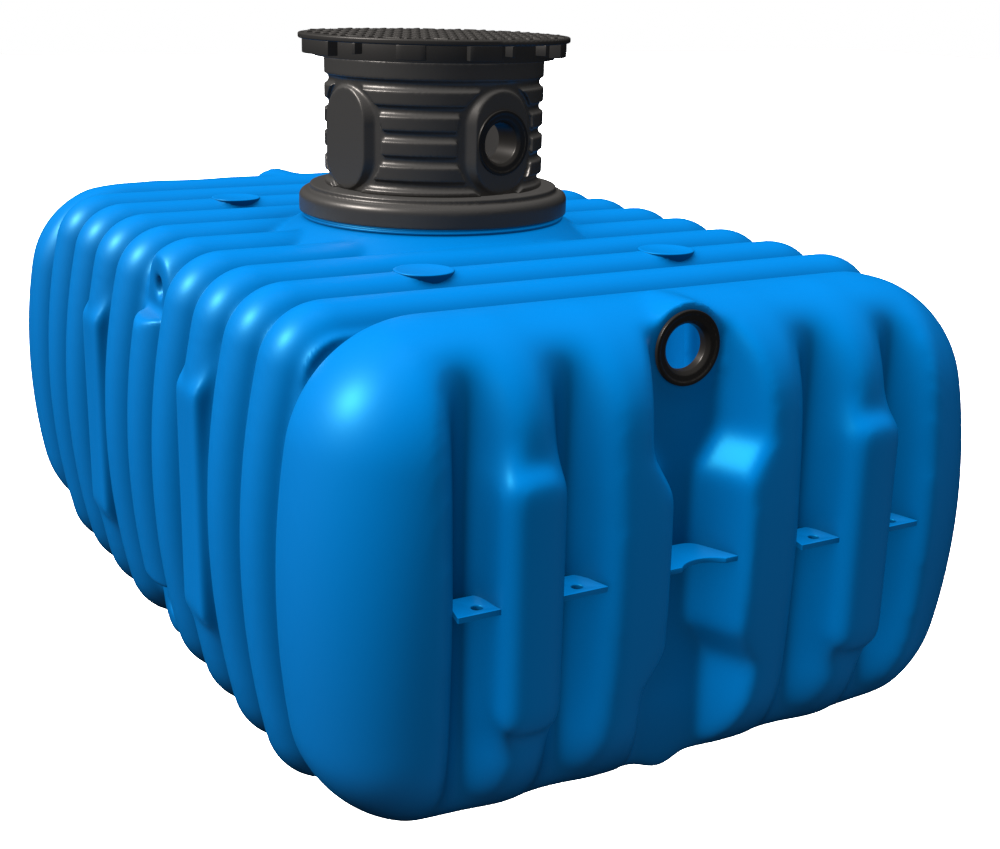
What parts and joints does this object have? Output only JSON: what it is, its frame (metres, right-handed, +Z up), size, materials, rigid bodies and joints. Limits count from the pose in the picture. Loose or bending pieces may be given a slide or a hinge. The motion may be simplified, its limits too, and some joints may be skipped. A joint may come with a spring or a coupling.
{
  "type": "underground water tank",
  "caption": "Flat ribbed plastic tank for burying, with grooved ends, pipe seals, lifting eyes, and a round access shaft under a lift-off cover.",
  "frame": {"origin": "the middle of the underside, on the level of the rest pads and the lowest rib crests", "axes": "+Z up, +Y along the tank from the front end to the back end, +X across it to the right"},
  "size_m": [1.92, 2.924, 1.759],
  "materials": {
    "tank_plastic": "semi-gloss",
    "shaft_plastic": "satin",
    "cover_plastic": "satin",
    "seal_rubber": "matt"
  },
  "bodies": {
    "root": {"upper_shell": "tank_plastic", "lower_shell": "tank_plastic", "front_end": "tank_plastic", "back_end": "tank_plastic", "front_inner_brackets": "tank_plastic", "back_inner_brackets": "tank_plastic", "front_outer_brackets": "tank_plastic", "back_outer_brackets": "tank_plastic", "front_web": "tank_plastic", "back_web": "tank_plastic", "neck_collar": "tank_plastic", "shaft_base": "shaft_plastic", "shaft_body": "shaft_plastic", "cover_plate": "cover_plastic", "cover_skirt": "cover_plastic", "cover_lugs": "cover_plastic", "cover_gussets": "cover_plastic", "front_seal": "seal_rubber", "back_seal": "seal_rubber", "port_seal": "seal_rubber"}
  },
  "joints": []
}
